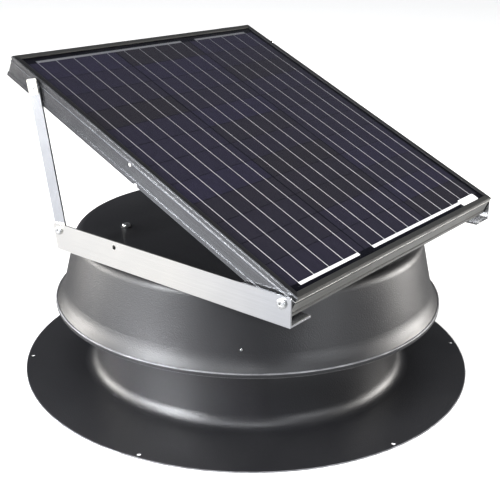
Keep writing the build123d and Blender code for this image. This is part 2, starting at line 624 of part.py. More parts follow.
def laminate():
    edge = FRAME_WALL + 1.0
    half = FRAME_X - edge
    glass_low = SLOT_TOP - GLASS_T
    nodes["panel_glass"] = PANEL * block(-half, half, edge, PANEL_L - edge, glass_low, SLOT_TOP)
    nodes["backsheet"] = PANEL * block(-half, half, edge, PANEL_L - edge, SHELF_TOP, CELL_N)
    cells = []
    ribbons = []
    top = CELL_N + CELL_T
    for column in range(CELL_COLUMNS):
        x0 = -CELLS_W / 2 + column * (CELL_W + COLUMN_GAP)
        for row in range(CELL_ROWS):
            u0 = CELLS_U + row * (CELL_H + ROW_GAP)
            cells.append(PANEL * block(x0, x0 + CELL_W, u0, u0 + CELL_H, CELL_N, top))
        for bar in range(BUSBARS):
            x = x0 + CELL_W / BUSBARS * (bar + 0.5)
            ribbons.append(PANEL * block(x - BUSBAR_W / 2, x + BUSBAR_W / 2, CELLS_U,
                                         CELLS_U + CELLS_L, top, top + 0.2))
    nodes["solar_cells"] = group(cells)
    # The three strings are joined in series: one link at the front, one at the rear, and two ends.
    pitch = CELL_W + COLUMN_GAP
    bar_reach = CELL_W / 2 - CELL_W / BUSBARS / 2 + BUSBAR_W / 2
    for first, last, at_rear in ((0, 0, False), (1, 2, False), (0, 1, True), (2, 2, True)):
        x0 = (first - 1) * pitch - bar_reach
        x1 = (last - 1) * pitch + bar_reach
        u0 = CELLS_U + CELLS_L if at_rear else CELLS_U - RIBBON_W
        ribbons.append(PANEL * block(x0, x1, u0, u0 + RIBBON_W, top, top + 0.2))
    nodes["cell_ribbons"] = group(ribbons)


def junction_box_pieces():
    high = SHELF_TOP
    low = high - BOX_H
    outer = RectangleRounded(BOX_W, BOX_L, 6)
    inner = RectangleRounded(BOX_W - 5, BOX_L - 5, 4)
    body = Pos(0, BOX_U, low) * (extrude(outer, BOX_H) - extrude(inner, BOX_H - 2))
    body += Pos(0, BOX_U - BOX_L / 2 - 2, low + 7.5) * Rot(90, 0, 0) * Cylinder(6.5, 6)
    body -= Pos(0, BOX_U - BOX_L / 2, low + 7.5) * Rot(90, 0, 0) * Cylinder(4.5, 14)
    nodes["junction_box"] = PANEL * body
    lid = Pos(0, BOX_U, low - 3) * (extrude(outer, 3) + Pos(0, 0, 3) * extrude(inner, 1.5))
    edge = lid.faces().sort_by(Axis.Z)[0].edges()
    nodes["junction_box_lid"] = PANEL * chamfer(edge, 1.0)
    nut = extrude(RegularPolygon(7.0, 6), 8)
    tail = disc(4.5, 12, -12)
    gland = Pos(0, BOX_U - BOX_L / 2 - 5, low + 7.5) * Rot(90, 0, 0) * (nut + tail)
    nodes["junction_box_gland"] = PANEL * gland


def panel_label():
    tag = extrude(RectangleRounded(LABEL_W, LABEL_L, 2.5), 0.2)
    return PANEL * Pos(LABEL_X, LABEL_U, SLOT_TOP) * tag


# ---------------------------------------------------------------- assembly
def build():
    nodes["base_flashing"] = base_flashing()
    nodes["hood"] = hood()
    nodes["insect_screen"] = insect_screen()
    for i, angle in enumerate(BRACKET_ANGLES):
        nodes[f"hood_bracket_{i + 1}"] = Rot(0, 0, angle) * hood_bracket()
    bracket_fasteners()
    hood_fasteners()
    nodes["cable_grommet"] = cable_grommet()
    nodes["motor_mount"] = motor_mount()
    motor_pieces()
    nodes["rotor_shaft"] = rotor_shaft()
    nodes["fan_hub"] = fan_hub()
    nodes["hub_set_screws"] = hub_set_screws()
    for i in range(BLADES):
        nodes[f"fan_blade_{i + 1}"] = Rot(0, 0, 360 / BLADES * i) * fan_blade()
    nodes["rail_left"] = rail_left()
    nodes["rail_right"] = mirror(nodes["rail_left"], about=Plane.YZ)
    nodes["strut_left"] = strut_left()
    nodes["strut_right"] = mirror(nodes["strut_left"], about=Plane.YZ)
    rail_fasteners()
    pivot_fasteners()
    frame_members()
    nodes["corner_keys"] = corner_keys()
    laminate()
    junction_box_pieces()
    nodes["panel_label"] = panel_label()


build()
os.makedirs("parts", exist_ok=True)
for name, shape in nodes.items():
    export_step(shape, f"parts/{name}.step")
print(len(nodes), "nodes")
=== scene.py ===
"""Looks for the solar attic fan: camera, studio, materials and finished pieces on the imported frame."""
import json
from math import atan2, cos, pi, radians, sin, tau

import bmesh
import bpy
from mathutils import Matrix, Vector

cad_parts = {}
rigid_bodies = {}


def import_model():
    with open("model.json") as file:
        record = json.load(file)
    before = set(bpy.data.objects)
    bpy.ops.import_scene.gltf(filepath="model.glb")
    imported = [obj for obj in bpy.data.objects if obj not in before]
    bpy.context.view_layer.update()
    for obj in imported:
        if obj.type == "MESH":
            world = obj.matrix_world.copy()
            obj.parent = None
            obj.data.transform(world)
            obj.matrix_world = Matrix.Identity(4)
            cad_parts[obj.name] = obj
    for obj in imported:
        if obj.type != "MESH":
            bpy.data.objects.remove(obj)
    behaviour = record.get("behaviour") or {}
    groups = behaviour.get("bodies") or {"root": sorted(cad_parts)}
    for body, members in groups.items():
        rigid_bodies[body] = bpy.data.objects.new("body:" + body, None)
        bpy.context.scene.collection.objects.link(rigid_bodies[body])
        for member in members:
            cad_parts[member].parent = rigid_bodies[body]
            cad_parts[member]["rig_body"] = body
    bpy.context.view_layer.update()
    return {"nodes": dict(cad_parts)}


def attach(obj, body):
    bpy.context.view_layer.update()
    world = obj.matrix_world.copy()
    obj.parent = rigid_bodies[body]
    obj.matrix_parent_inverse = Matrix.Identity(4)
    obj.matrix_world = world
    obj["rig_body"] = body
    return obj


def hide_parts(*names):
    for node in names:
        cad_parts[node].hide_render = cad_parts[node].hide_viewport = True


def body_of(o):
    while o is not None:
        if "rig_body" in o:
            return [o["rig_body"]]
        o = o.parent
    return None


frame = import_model()
NODES = frame["nodes"]

# ---------------------------------------------------------------- places on the CAD model, in metres
# These are typed from the model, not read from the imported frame, so they follow it by hand.
PANEL_TILT = radians(24.3)
PANEL_ORIGIN = Vector((0, -0.252764, 0.214891))   # front lower edge of the panel's frame, at x = 0
PANEL_MATRIX = Matrix.Translation(PANEL_ORIGIN) @ Matrix.Rotation(PANEL_TILT, 4, "X")

PANEL_CELLS_U = 0.0205        # front edge of the cells, from the front of the frame
CELLS_LEFT_X = -0.23775       # left edge of the cells
CELL_PITCH_U = 0.040          # from one row of cells to the next
CELL_PITCH_X = 0.1585         # from one column to the next
FINGER_PITCH = 0.0016         # between a cell's silver fingers
FRAME_OUTSIDE_X = 0.2470      # beyond this a side member's outer face begins
FRAME_FACE_TOP = 0.0296       # height on the frame under which its outer face ends

# Ridges of the frame's section: (height above its lower edge, half width of the painted highlight line).
FRAME_RIDGES = ((0.0058, 0.00025), (0.0221, 0.0004), (0.0293, 0.00025))
RIDGE_SHADE_BAND = 0.0011           # half width of the painted shade band over a ridge, on the front and rear members
SPIN_PITCH = 0.004            # between the marks that spinning left in the black sheet

# Thin bands of painted highlight on the black coat, along the rolled rim and the flange's edge: (beyond this
# radius, from this height, to this one).
PAINTED_HIGHLIGHT_EDGES = ((0.2815, 0.1068, 0.1085), (0.2810, 0.0995, 0.1024), (0.3288, -0.001, 0.003))

STRUT_FOOT = Vector((0, 0.122, 0.2335))
STRUT_ANGLE = radians(102.8)        # from +Y up to the strut

# ---------------------------------------------------------------- camera
CAMERA_AT = Vector((-1.03095, -0.81037, 0.65526))
CAMERA_YAW = radians(53.08777)      # from +Y towards +X
CAMERA_PITCH = radians(-17.48709)
CAMERA_ROLL = radians(1.47302)
LENS_MM = 67.67
SENSOR_MM = 36.0
SHIFT = (-0.04, -0.10)
CLIP_END = 50                       # past the backdrop

# ---------------------------------------------------------------- studio walls
WALL_AZIMUTH = 155                  # degrees from +X, the middle of the bright wall
WALL_BRIGHT = (1.0, 1.02, 1.08)
WALL_DARK = (0.10, 0.105, 0.115)
LOW_SPREAD = radians(14)
FLOOR_HALF = 30
BACKDROP_RADIUS = 28
BACKDROP_HEIGHT = 20
BACKDROP_SIDES = 64


def add_camera():
    data = bpy.data.cameras.new("camera")
    data.lens = LENS_MM
    data.sensor_width = SENSOR_MM
    data.shift_x, data.shift_y = SHIFT
    data.clip_end = CLIP_END
    camera = bpy.data.objects.new("camera", data)
    bpy.context.scene.collection.objects.link(camera)
    look = Matrix.Rotation(-CAMERA_YAW, 4, "Z") @ Matrix.Rotation(pi / 2 + CAMERA_PITCH, 4, "X")
    camera.matrix_world = Matrix.Translation(CAMERA_AT) @ look @ Matrix.Rotation(CAMERA_ROLL, 4, "Z")
    bpy.context.scene.camera = camera


# ---------------------------------------------------------------- studio
def area_light(name, azimuth, distance, height, size, power, color, aim=(0, 0, 0.2)):
    """A rectangular lamp at an azimuth in degrees from +X, turned to a point."""
    data = bpy.data.lights.new(name, "AREA")
    data.shape = "RECTANGLE"
    data.size, data.size_y = size
    data.energy = power
    data.color = color
    light = bpy.data.objects.new(name, data)
    bpy.context.scene.collection.objects.link(light)
    a = radians(azimuth)
    light.location = (distance * cos(a), distance * sin(a), height)
    light.rotation_euler = (Vector(aim) - light.location).to_track_quat("-Z", "Y").to_euler()
    light.visible_camera = False
    return light


def add_sun(strength, spread, lean_x, lean_y):
    """Even light from overhead, as wide as a ceiling of soft boxes."""
    data = bpy.data.lights.new("overhead", "SUN")
    data.energy = strength
    data.angle = radians(spread)
    light = bpy.data.objects.new("overhead", data)
    light.rotation_euler = (radians(lean_x), radians(lean_y), 0)
    bpy.context.scene.collection.objects.link(light)


def add_world():
    """Dim overhead, a bright wall on the left and behind, and a pale sweep under it all."""
    world = bpy.data.worlds.new("studio")
    world.use_nodes = True
    tree = world.node_tree
    background = tree.nodes["Background"]
    place = tree.nodes.new("ShaderNodeTexCoord").outputs["Generated"]
    split = tree.nodes.new("ShaderNodeSeparateXYZ")
    tree.links.new(place, split.inputs[0])

    def ramp(value, low, high, stops):
        spread = tree.nodes.new("ShaderNodeMapRange")
        spread.inputs["From Min"].default_value = low
        spread.inputs["From Max"].default_value = high
        tree.links.new(value, spread.inputs["Value"])
        made = tree.nodes.new("ShaderNodeValToRGB")
        tree.links.new(spread.outputs["Result"], made.inputs["Fac"])
        elements = made.color_ramp.elements
        while len(elements) < len(stops):
            elements.new(0.5)
        for element, (at, color) in zip(elements, stops):
            element.position = (at - low) / (high - low)
            element.color = (*color, 1)
        return made.outputs["Color"]

    height = ramp(split.outputs["Z"], -1, 1, (
        (-0.46, (0.75, 0.75, 0.76)), (-0.34, WALL_DARK), (0.06, WALL_DARK), (0.26, (0.08, 0.084, 0.092))))
    band = ramp(split.outputs["Z"], -1, 1, (
        (-0.46, (0, 0, 0)), (-0.34, (1, 1, 1)), (0.06, (1, 1, 1)), (0.26, (0, 0, 0))))
    turn = tree.nodes.new("ShaderNodeVectorMath")
    turn.operation = "DOT_PRODUCT"
    tree.links.new(place, turn.inputs[0])
    turn.inputs[1].default_value = (cos(radians(WALL_AZIMUTH)), sin(radians(WALL_AZIMUTH)), 0)
    wall = ramp(turn.outputs["Value"], -1, 1, ((0.45, (0, 0, 0)), (0.92, WALL_BRIGHT)))
    lit = tree.nodes.new("ShaderNodeMix")
    lit.data_type = "RGBA"
    lit.blend_type = "MULTIPLY"
    lit.inputs[0].default_value = 1.0
    tree.links.new(band, lit.inputs[6])
    tree.links.new(wall, lit.inputs[7])
    total = tree.nodes.new("ShaderNodeMix")
    total.data_type = "RGBA"
    total.blend_type = "ADD"
    total.inputs[0].default_value = 1.0
    tree.links.new(height, total.inputs[6])
    tree.links.new(lit.outputs[2], total.inputs[7])
    tree.links.new(total.outputs[2], background.inputs["Color"])
    background.inputs["Strength"].default_value = 1.0
    bpy.context.scene.world = world


def add_studio():
    area_light("key", 166, 2.9, 1.8, (0.9, 0.9), 150, (0.95, 0.97, 1.0))
    # A narrow beam along the floor, to place a highlight at the foot of the throat.
    low = area_light("low", 169, 1.15, 0.09, (0.34, 0.08), 0.26, (0.95, 0.97, 1.0),
                     aim=(-0.22, -0.03, 0.025))
    low.data.spread = LOW_SPREAD
    area_light("left", 159, 3.2, 0.6, (1.8, 1.1), 46, (0.97, 0.98, 1.0))
    area_light("rear_left", 114, 3.0, 0.7, (1.6, 1.2), 100, (1.0, 0.97, 0.92))
    area_light("front_high", 228, 2.6, 3.0, (0.9, 0.9), 45, (0.95, 0.97, 1.0))
    area_light("side", 260, 3.0, 0.8, (1.0, 1.2), 26, (0.95, 0.97, 1.0))
    area_light("rear_right", 322, 3.0, 0.6, (1.2, 1.2), 110, (1.0, 0.97, 0.93))
    add_sun(2.7, 40, 4, -8)
    add_world()
    bpy.context.scene.view_settings.view_transform = "Standard"
    add_floor()
    add_backdrop()


def add_floor():
    mesh = bpy.data.meshes.new("floor")
    half = FLOOR_HALF
    corners = [(-half, -half, 0), (half, -half, 0), (half, half, 0), (-half, half, 0)]
    mesh.from_pydata(corners, [], [(0, 1, 2, 3)])
    floor = bpy.data.objects.new("floor", mesh)
    bpy.context.scene.collection.objects.link(floor)
    look = Look("floor", (0.99, 0.99, 0.99), 0.7, Specular_IOR_Level=0.2)
    mesh.materials.append(look.material)
    floor.visible_glossy = False     # polished parts mirror the world's walls instead
    floor.visible_shadow = False


def add_backdrop():
    """A white ring behind the floor, seen by the camera and in no reflection."""
    mesh = bpy.data.meshes.new("backdrop")
    count = BACKDROP_SIDES
    angles = [tau * i / count for i in range(count)]
    rim = [(BACKDROP_RADIUS * cos(a), BACKDROP_RADIUS * sin(a)) for a in angles]
    mesh.from_pydata([(x, y, z) for z in (0, BACKDROP_HEIGHT) for x, y in rim], [],
                     [(i, (i + 1) % count, (i + 1) % count + count, i + count) for i in range(count)])
    backdrop = bpy.data.objects.new("backdrop", mesh)
    bpy.context.scene.collection.objects.link(backdrop)
    look = Look("backdrop", (0.9, 0.9, 0.9), 0.8, Emission_Color=(1, 1, 1, 1), Emission_Strength=1.0)
    mesh.materials.append(look.material)
    backdrop.visible_glossy = False
    backdrop.visible_diffuse = False
    backdrop.visible_shadow = False
    backdrop.visible_transmission = False


# ---------------------------------------------------------------- material building blocks
class Look:
    """A procedural material: a Principled shader, and short calls for the nodes that feed it."""

    def __init__(self, name, color, roughness, metallic=0.0, **sockets):
        self.material = bpy.data.materials.new(name)
        self.material.use_nodes = True
        self.tree = self.material.node_tree
        self.shader = self.tree.nodes["Principled BSDF"]
        self.shader.inputs["Base Color"].default_value = (*color, 1)
        self.shader.inputs["Roughness"].default_value = roughness
        self.shader.inputs["Metallic"].default_value = metallic
        for key, value in sockets.items():
            self.shader.inputs[key.replace("_", " ")].default_value = value
        self.height = None
        self.place = self.node("ShaderNodeTexCoord").outputs["Object"]

    def node(self, kind, **settings):
        made = self.tree.nodes.new(kind)
        for key, value in settings.items():
            setattr(made, key, value)
        return made

    def link(self, value, socket):
        """Feeds a socket from another one, or sets it to a plain value."""
        if isinstance(value, bpy.types.NodeSocket):
            self.tree.links.new(value, socket)
        else:
            socket.default_value = value

    def math(self, operation, a, b=0.0, c=0.0):
        made = self.node("ShaderNodeMath", operation=operation)
        for value, socket in zip((a, b, c), made.inputs):
            self.link(value, socket)
        return made.outputs[0]

    def frame(self, matrix):
        """Object coordinates seen from a frame of their own, such as the tilted panel's."""
        turned = self.node("ShaderNodeMapping", vector_type="TEXTURE")
        self.link(self.place, turned.inputs["Vector"])
        turned.inputs["Location"].default_value = matrix.to_translation()
        turned.inputs["Rotation"].default_value = matrix.to_euler()
        self.place = turned.outputs["Vector"]
        return self

    def stretched(self, scale):
        made = self.node("ShaderNodeMapping")
        self.link(self.place, made.inputs["Vector"])
        made.inputs["Scale"].default_value = scale
        return made.outputs["Vector"]

    def axes(self):
        made = self.node("ShaderNodeSeparateXYZ")
        self.link(self.place, made.inputs[0])
        return made.outputs

    def noise(self, scale, detail=2.0, roughness=0.5, where=None):
        """Cloudy value from 0 to 1. Scale is in cycles a metre."""
        made = self.node("ShaderNodeTexNoise")
        self.link(where or self.place, made.inputs["Vector"])
        made.inputs["Scale"].default_value = scale
        made.inputs["Detail"].default_value = detail
        made.inputs["Roughness"].default_value = roughness
        return made.outputs["Fac"]

    def cells(self, scale, feature="F1", output="Color"):
        made = self.node("ShaderNodeTexVoronoi", feature=feature)
        self.link(self.place, made.inputs["Vector"])
        made.inputs["Scale"].default_value = scale
        return made.outputs[output]

    def span(self, value, low, high, start=0.3, end=0.7):
        """Maps a value's range start..end to low..high."""
        made = self.node("ShaderNodeMapRange")
        self.link(value, made.inputs["Value"])
        made.inputs["From Min"].default_value = start
        made.inputs["From Max"].default_value = end
        made.inputs["To Min"].default_value = low
        made.inputs["To Max"].default_value = high
        return made.outputs["Result"]

    def blend(self, share, a, b):
        """Colour from a to b by a share from 0 to 1."""
        made = self.node("ShaderNodeMix", data_type="RGBA")
        self.link(share, made.inputs[0])
        for value, socket in ((a, made.inputs[6]), (b, made.inputs[7])):
            self.link((*value, 1) if isinstance(value, tuple) else value, socket)
        return made.outputs[2]

    def color(self, value):
        self.link(value, self.shader.inputs["Base Color"])
        return self

    def rough(self, value):
        self.link(value, self.shader.inputs["Roughness"])
        return self

    def bump(self, height, depth):
        """Adds relief: depth in metres between height 0 and 1."""
        made = self.node("ShaderNodeBump")
        made.inputs["Strength"].default_value = 1.0
        made.inputs["Distance"].default_value = depth
        self.link(height, made.inputs["Height"])
        if self.height is not None:
            self.link(self.height, made.inputs["Normal"])
        self.height = made.outputs["Normal"]
        self.link(self.height, self.shader.inputs["Normal"])
        return self


def panel_frame(look):
    return look.frame(PANEL_MATRIX)


# ---------------------------------------------------------------- materials
def black_coat():
    """Satin black paint on spun sheet, with painted highlights along the rolled rim and the flange's edge.
    """
    look = Look("black_coat", (0.014, 0.014, 0.016), 0.4, Specular_IOR_Level=0.68)
    speck = look.noise(900, 2.0)
    coat = look.blend(look.span(speck, 0, 1), (0.005, 0.005, 0.006), (0.010, 0.010, 0.012))
    cloud = look.noise(14, 3.0)
    gloss = look.math("ADD", look.span(cloud, 0.38, 0.44), look.span(look.noise(520, 2.0), -0.03, 0.05))
    look.rough(gloss)
    x, y, z = look.axes()
    radius = look.math("SQRT", look.math("ADD", look.math("MULTIPLY", x, x), look.math("MULTIPLY", y, y)))
    # Painted highlight: thin bands along the rolled rim and the flange's edge are made lighter, in patches.
    painted_highlight = 0.0
    for inner, low, high in PAINTED_HIGHLIGHT_EDGES:
        here = look.math("GREATER_THAN", radius, inner)
        here = look.math("MULTIPLY", here, look.math("GREATER_THAN", z, low))
        painted_highlight = look.math("MAXIMUM", painted_highlight, look.math("MULTIPLY", here, look.math("LESS_THAN", z, high)))
    patchy_highlight = look.math("MULTIPLY", painted_highlight, look.span(look.noise(60, 4.0), 0.35, 1.0))
    look.color(look.blend(patchy_highlight, coat, (0.22, 0.22, 0.23)))
    path = look.math("MULTIPLY", look.math("ADD", radius, z), tau / SPIN_PITCH)
    look.bump(look.math("SINE", path), 0.000004)
    look.bump(look.noise(8, 1.0), 0.0015)
    look.bump(look.noise(620, 2.0), 0.00030)
    return look


def mill_aluminium(name, matrix=None, painted_warm_light=True):
    """Drawn aluminium with fine lines along it; on the rails, a painted warm light turns it cream towards
    the back.
    """
    look = Look(name, (0.82, 0.82, 0.81), 0.28, metallic=1.0)
    if matrix:
        look.frame(matrix)
    streak = look.noise(1.0, 4.0, 0.6, look.stretched((700, 6, 700)))
    share = look.span(streak, 0, 1)
    drawn = look.blend(share, (0.66, 0.665, 0.68), (0.70, 0.705, 0.72))
    # Painted light: a warm cream tone grows towards the back of the rails, where warm light falls.
    if painted_warm_light:
        warm_lit = look.blend(share, (0.87, 0.845, 0.79), (0.90, 0.875, 0.82))
        drawn = look.blend(look.span(look.axes()[1], 0, 1, -0.24, -0.08), drawn, warm_lit)
    look.color(drawn)
    look.rough(look.span(look.noise(40, 3.0), 0.19, 0.25))
    look.bump(streak, 0.00003)
    return look


def frame_side():
    """Grey extrusion with die lines along it, with painted shade that darkens it towards the back.

    Its ridges carry thin painted highlights outside, fading towards the back, and its lips are darker and
    rougher.
    """
    look = panel_frame(Look("frame_anodised", (0.2, 0.2, 0.2), 0.36, metallic=0.9))
    streak = look.noise(1.0, 3.0, 0.6, look.stretched((700, 5, 700)))
    share = look.span(streak, 0, 1)
    x, u, n = look.axes()
    # Painted shade: a lighter copy of the metal at the front blends into a darker one at the back.
    front = look.blend(share, (0.125, 0.127, 0.132), (0.175, 0.177, 0.184))
    rear = look.blend(share, (0.050, 0.050, 0.052), (0.080, 0.080, 0.082))
    metal = look.blend(look.span(u, 0, 1, 0.22, 0.50), front, rear)
    # Painted highlight: thin light lines along the ridges of the outer face, fading towards the back.
    painted_ridge_highlight = 0.0
    for at, half in FRAME_RIDGES:
        off = look.math("ABSOLUTE", look.math("SUBTRACT", n, at))
        painted_ridge_highlight = look.math("MAXIMUM", painted_ridge_highlight, look.math("LESS_THAN", off, half))
    painted_ridge_highlight = look.math("MULTIPLY", painted_ridge_highlight, look.span(u, 1.0, 0.3, 0.22, 0.50))
    outside = look.math("GREATER_THAN", look.math("ABSOLUTE", x), FRAME_OUTSIDE_X)
    painted_ridge_highlight = look.math("MULTIPLY", painted_ridge_highlight, outside)
    metal = look.blend(outside, (0.030, 0.030, 0.032), metal)
    look.color(look.blend(painted_ridge_highlight, metal, (0.32, 0.33, 0.35)))
    rough = look.span(look.noise(60, 3.0), 0.20, 0.27)
    look.rough(look.math("ADD", rough, look.span(outside, 0.30, 0.0)))
    look.bump(streak, 0.00001)
    return look


def frame_cross():
    """The extrusion across the panel: satin, die lines the other way, painted shade in dark bands over its
    ridges.
    """
    look = panel_frame(Look("frame_cross", (0.2, 0.2, 0.2), 0.4, metallic=0.85))
    streak = look.noise(1.0, 3.0, 0.6, look.stretched((5, 700, 700)))
    n = look.axes()[2]
    face = look.math("LESS_THAN", n, FRAME_FACE_TOP)
    metal = look.blend(look.span(streak, 0, 1), (0.20, 0.20, 0.192), (0.27, 0.27, 0.26))
    lip = look.blend(look.span(streak, 0, 1), (0.085, 0.086, 0.090), (0.125, 0.126, 0.130))
    metal = look.blend(face, lip, metal)
    # Painted shade: dark bands over the ridges stand for the shadow in the grooves.
    edge = 0.0
    for at, half in FRAME_RIDGES:
        off = look.math("ABSOLUTE", look.math("SUBTRACT", n, at))
        edge = look.math("MAXIMUM", edge, look.math("LESS_THAN", off, RIDGE_SHADE_BAND))
    look.color(look.blend(edge, metal, (0.045, 0.045, 0.044)))
    rough = look.span(look.noise(60, 3.0), 0.40, 0.48)
    look.rough(look.math("ADD", rough, look.math("MULTIPLY", edge, 0.2)))
    look.bump(streak, 0.00001)
    return look


def zinc_steel():
    look = Look("zinc_steel", (0.75, 0.75, 0.74), 0.28, metallic=1.0)
    cloud = look.noise(500, 3.0)
    look.color(look.blend(look.span(cloud, 0, 1), (0.66, 0.67, 0.68), (0.82, 0.82, 0.80)))
    look.rough(look.span(cloud, 0.22, 0.36))
    look.bump(look.noise(2500, 2.0), 0.00001)
    return look


def galvanised_sheet():
    look = Look("galvanised_sheet", (0.6, 0.61, 0.62), 0.4, metallic=1.0)
    spangle = look.cells(160)
    grey = look.node("ShaderNodeSeparateColor")
    look.link(spangle, grey.inputs[0])
    look.color(look.blend(grey.outputs[0], (0.50, 0.51, 0.53), (0.70, 0.71, 0.72)))
    look.rough(look.span(grey.outputs[1], 0.32, 0.5, 0, 1))
    look.bump(look.cells(160, "DISTANCE_TO_EDGE", "Distance"), 0.00002)
    return look


def plain_noise(name, dark, light, roughness, metallic=0.0, scale=600, depth=0.00005, **sockets):
    """A finish of one hue with fine mottling, uneven gloss and a fine grain."""
    look = Look(name, light, sum(roughness) / 2, metallic, **sockets)
    grain = look.noise(scale, 3.0)
    look.color(look.blend(look.span(grain, 0, 1), dark, light))
    look.rough(look.span(look.noise(scale / 20, 2.0), *roughness))
    look.bump(grain, depth)
    return look


def solar_glass():
    """Clear smooth glass with a faint uneven tint; its IOR is set low, as for a coated face."""
    look = panel_frame(Look("solar_glass", (0.97, 0.98, 0.98), 0.0, IOR=1.27, Transmission_Weight=1.0))
    film = look.noise(18, 4.0)
    look.color(look.blend(look.span(film, 0, 1), (0.955, 0.965, 0.965), (0.99, 0.99, 0.99)))
    return look


def silicon_cell():
    """Dark cells that differ in tint from one to the next, with fine silver fingers across."""
    look = panel_frame(Look("silicon_cell", (0.015, 0.016, 0.03), 0.45, Specular_IOR_Level=0.0))
    x, u, n = look.axes()
    up = look.math("SUBTRACT", u, PANEL_CELLS_U)
    row = look.math("FLOOR", look.math("DIVIDE", up, CELL_PITCH_U))
    right = look.math("SUBTRACT", x, CELLS_LEFT_X)
    column = look.math("FLOOR", look.math("DIVIDE", right, CELL_PITCH_X))
    seed = look.node("ShaderNodeCombineXYZ")
    look.link(column, seed.inputs[0])
    look.link(row, seed.inputs[1])
    tint = look.node("ShaderNodeTexWhiteNoise", noise_dimensions="3D")
    look.link(seed.outputs[0], tint.inputs["Vector"])
    body = look.blend(tint.outputs["Value"], (0.0140, 0.0127, 0.0155), (0.0155, 0.0138, 0.0265))
    crystal = look.cells(160)
    grey = look.node("ShaderNodeSeparateColor")
    look.link(crystal, grey.inputs[0])
    body = look.blend(look.span(grey.outputs[0], 0, 0.35, 0, 1), body, (0.0090, 0.0085, 0.0135))
    finger = look.math("FRACT", look.math("DIVIDE", u, FINGER_PITCH))
    on_finger = look.math("LESS_THAN", finger, 0.06)
    look.color(look.blend(on_finger, body, (0.027, 0.027, 0.034)))
    look.rough(look.span(look.noise(900, 2.0), 0.4, 0.5))
    return look


def tinned_ribbon():
    """Tinned copper, with a painted reflection: bright at the front, and duller along the cells towards the
    back.
    """
    look = panel_frame(Look("tinned_ribbon", (0.8, 0.8, 0.8), 0.42, metallic=0.2))
    u = look.axes()[1]
    # Painted reflection: the ribbons are brightest at the front and darken along the cells towards the back.
    along = look.blend(look.span(u, 0, 1, 0.03, 0.50), (0.50, 0.50, 0.51), (0.11, 0.11, 0.12))
    painted_bright_front = look.math("LESS_THAN", u, PANEL_CELLS_U)
    grain = look.noise(500, 3.0)
    look.color(look.blend(painted_bright_front, along, (0.90, 0.90, 0.90)))
    look.rough(look.span(grain, 0.34, 0.48))
    look.bump(grain, 0.00004)
    return look


def assign(look, *names):
    for name in names:
        mesh = NODES[name].data
        for i in range(max(1, len(mesh.materials))):
            if i < len(mesh.materials):
                mesh.materials[i] = look.material
            else:
                mesh.materials.append(look.material)


def paint_nodes():
    by_slot = {
        "black_coat": black_coat(),
        "zinc_steel": zinc_steel(),
        "galvanised_sheet": galvanised_sheet(),
        "screen_black": plain_noise("screen_black", (0.012, 0.012, 0.013), (0.03, 0.03, 0.03), (0.45, 0.6)),
        "seal_rubber": plain_noise("seal_rubber", (0.012, 0.012, 0.012), (0.03, 0.03, 0.03), (0.7, 0.85)),
        "motor_paint": plain_noise("motor_paint", (0.03, 0.032, 0.035), (0.05, 0.052, 0.056), (0.4, 0.5)),
        "lamination": plain_noise("lamination", (0.25, 0.25, 0.26), (0.4, 0.4, 0.41), (0.4, 0.5), 1.0),
        "copper_wire": plain_noise("copper_wire", (0.55, 0.22, 0.09), (0.75, 0.33, 0.14), (0.25, 0.4), 1.0),
        "magnet": plain_noise("magnet", (0.2, 0.2, 0.21), (0.3, 0.3, 0.31), (0.3, 0.45), 1.0),
        "bearing_steel": plain_noise("bearing_steel", (0.6, 0.6, 0.61), (0.75, 0.75, 0.76),
                                     (0.15, 0.25), 1.0),
        "fan_aluminium": plain_noise("fan_aluminium", (0.7, 0.7, 0.7), (0.82, 0.82, 0.82), (0.3, 0.45), 1.0),
        "solar_glass": solar_glass(),
        "silicon_cell": silicon_cell(),
        "tinned_ribbon": tinned_ribbon(),
        "backsheet_black": plain_noise("backsheet_black", (0.0015, 0.0015, 0.003), (0.003, 0.003, 0.006),
                                       (0.5, 0.6), Specular_IOR_Level=0.0),
        "box_plastic": plain_noise("box_plastic", (0.012, 0.012, 0.012), (0.025, 0.025, 0.025), (0.45, 0.6)),
        "label_white": plain_noise("label_white", (0.78, 0.79, 0.8), (0.88, 0.88, 0.88), (0.4, 0.5)),
        "mill_aluminium": mill_aluminium("mill_aluminium"),
        "frame_anodised": frame_side(),
    }
    for name in NODES:
        assign(by_slot[SLOTS[name]], name)
    assign(frame_cross(), "frame_front", "frame_rear")
    along_strut = Matrix.Translation(STRUT_FOOT) @ Matrix.Rotation(STRUT_ANGLE, 4, "X")
    assign(mill_aluminium("strut_aluminium", along_strut, painted_warm_light=False), "strut_left", "strut_right")
    # The lamps reach the cells straight through the glass.
    NODES["panel_glass"].visible_shadow = False
    NODES["panel_glass"].visible_diffuse = False
    return by_slot


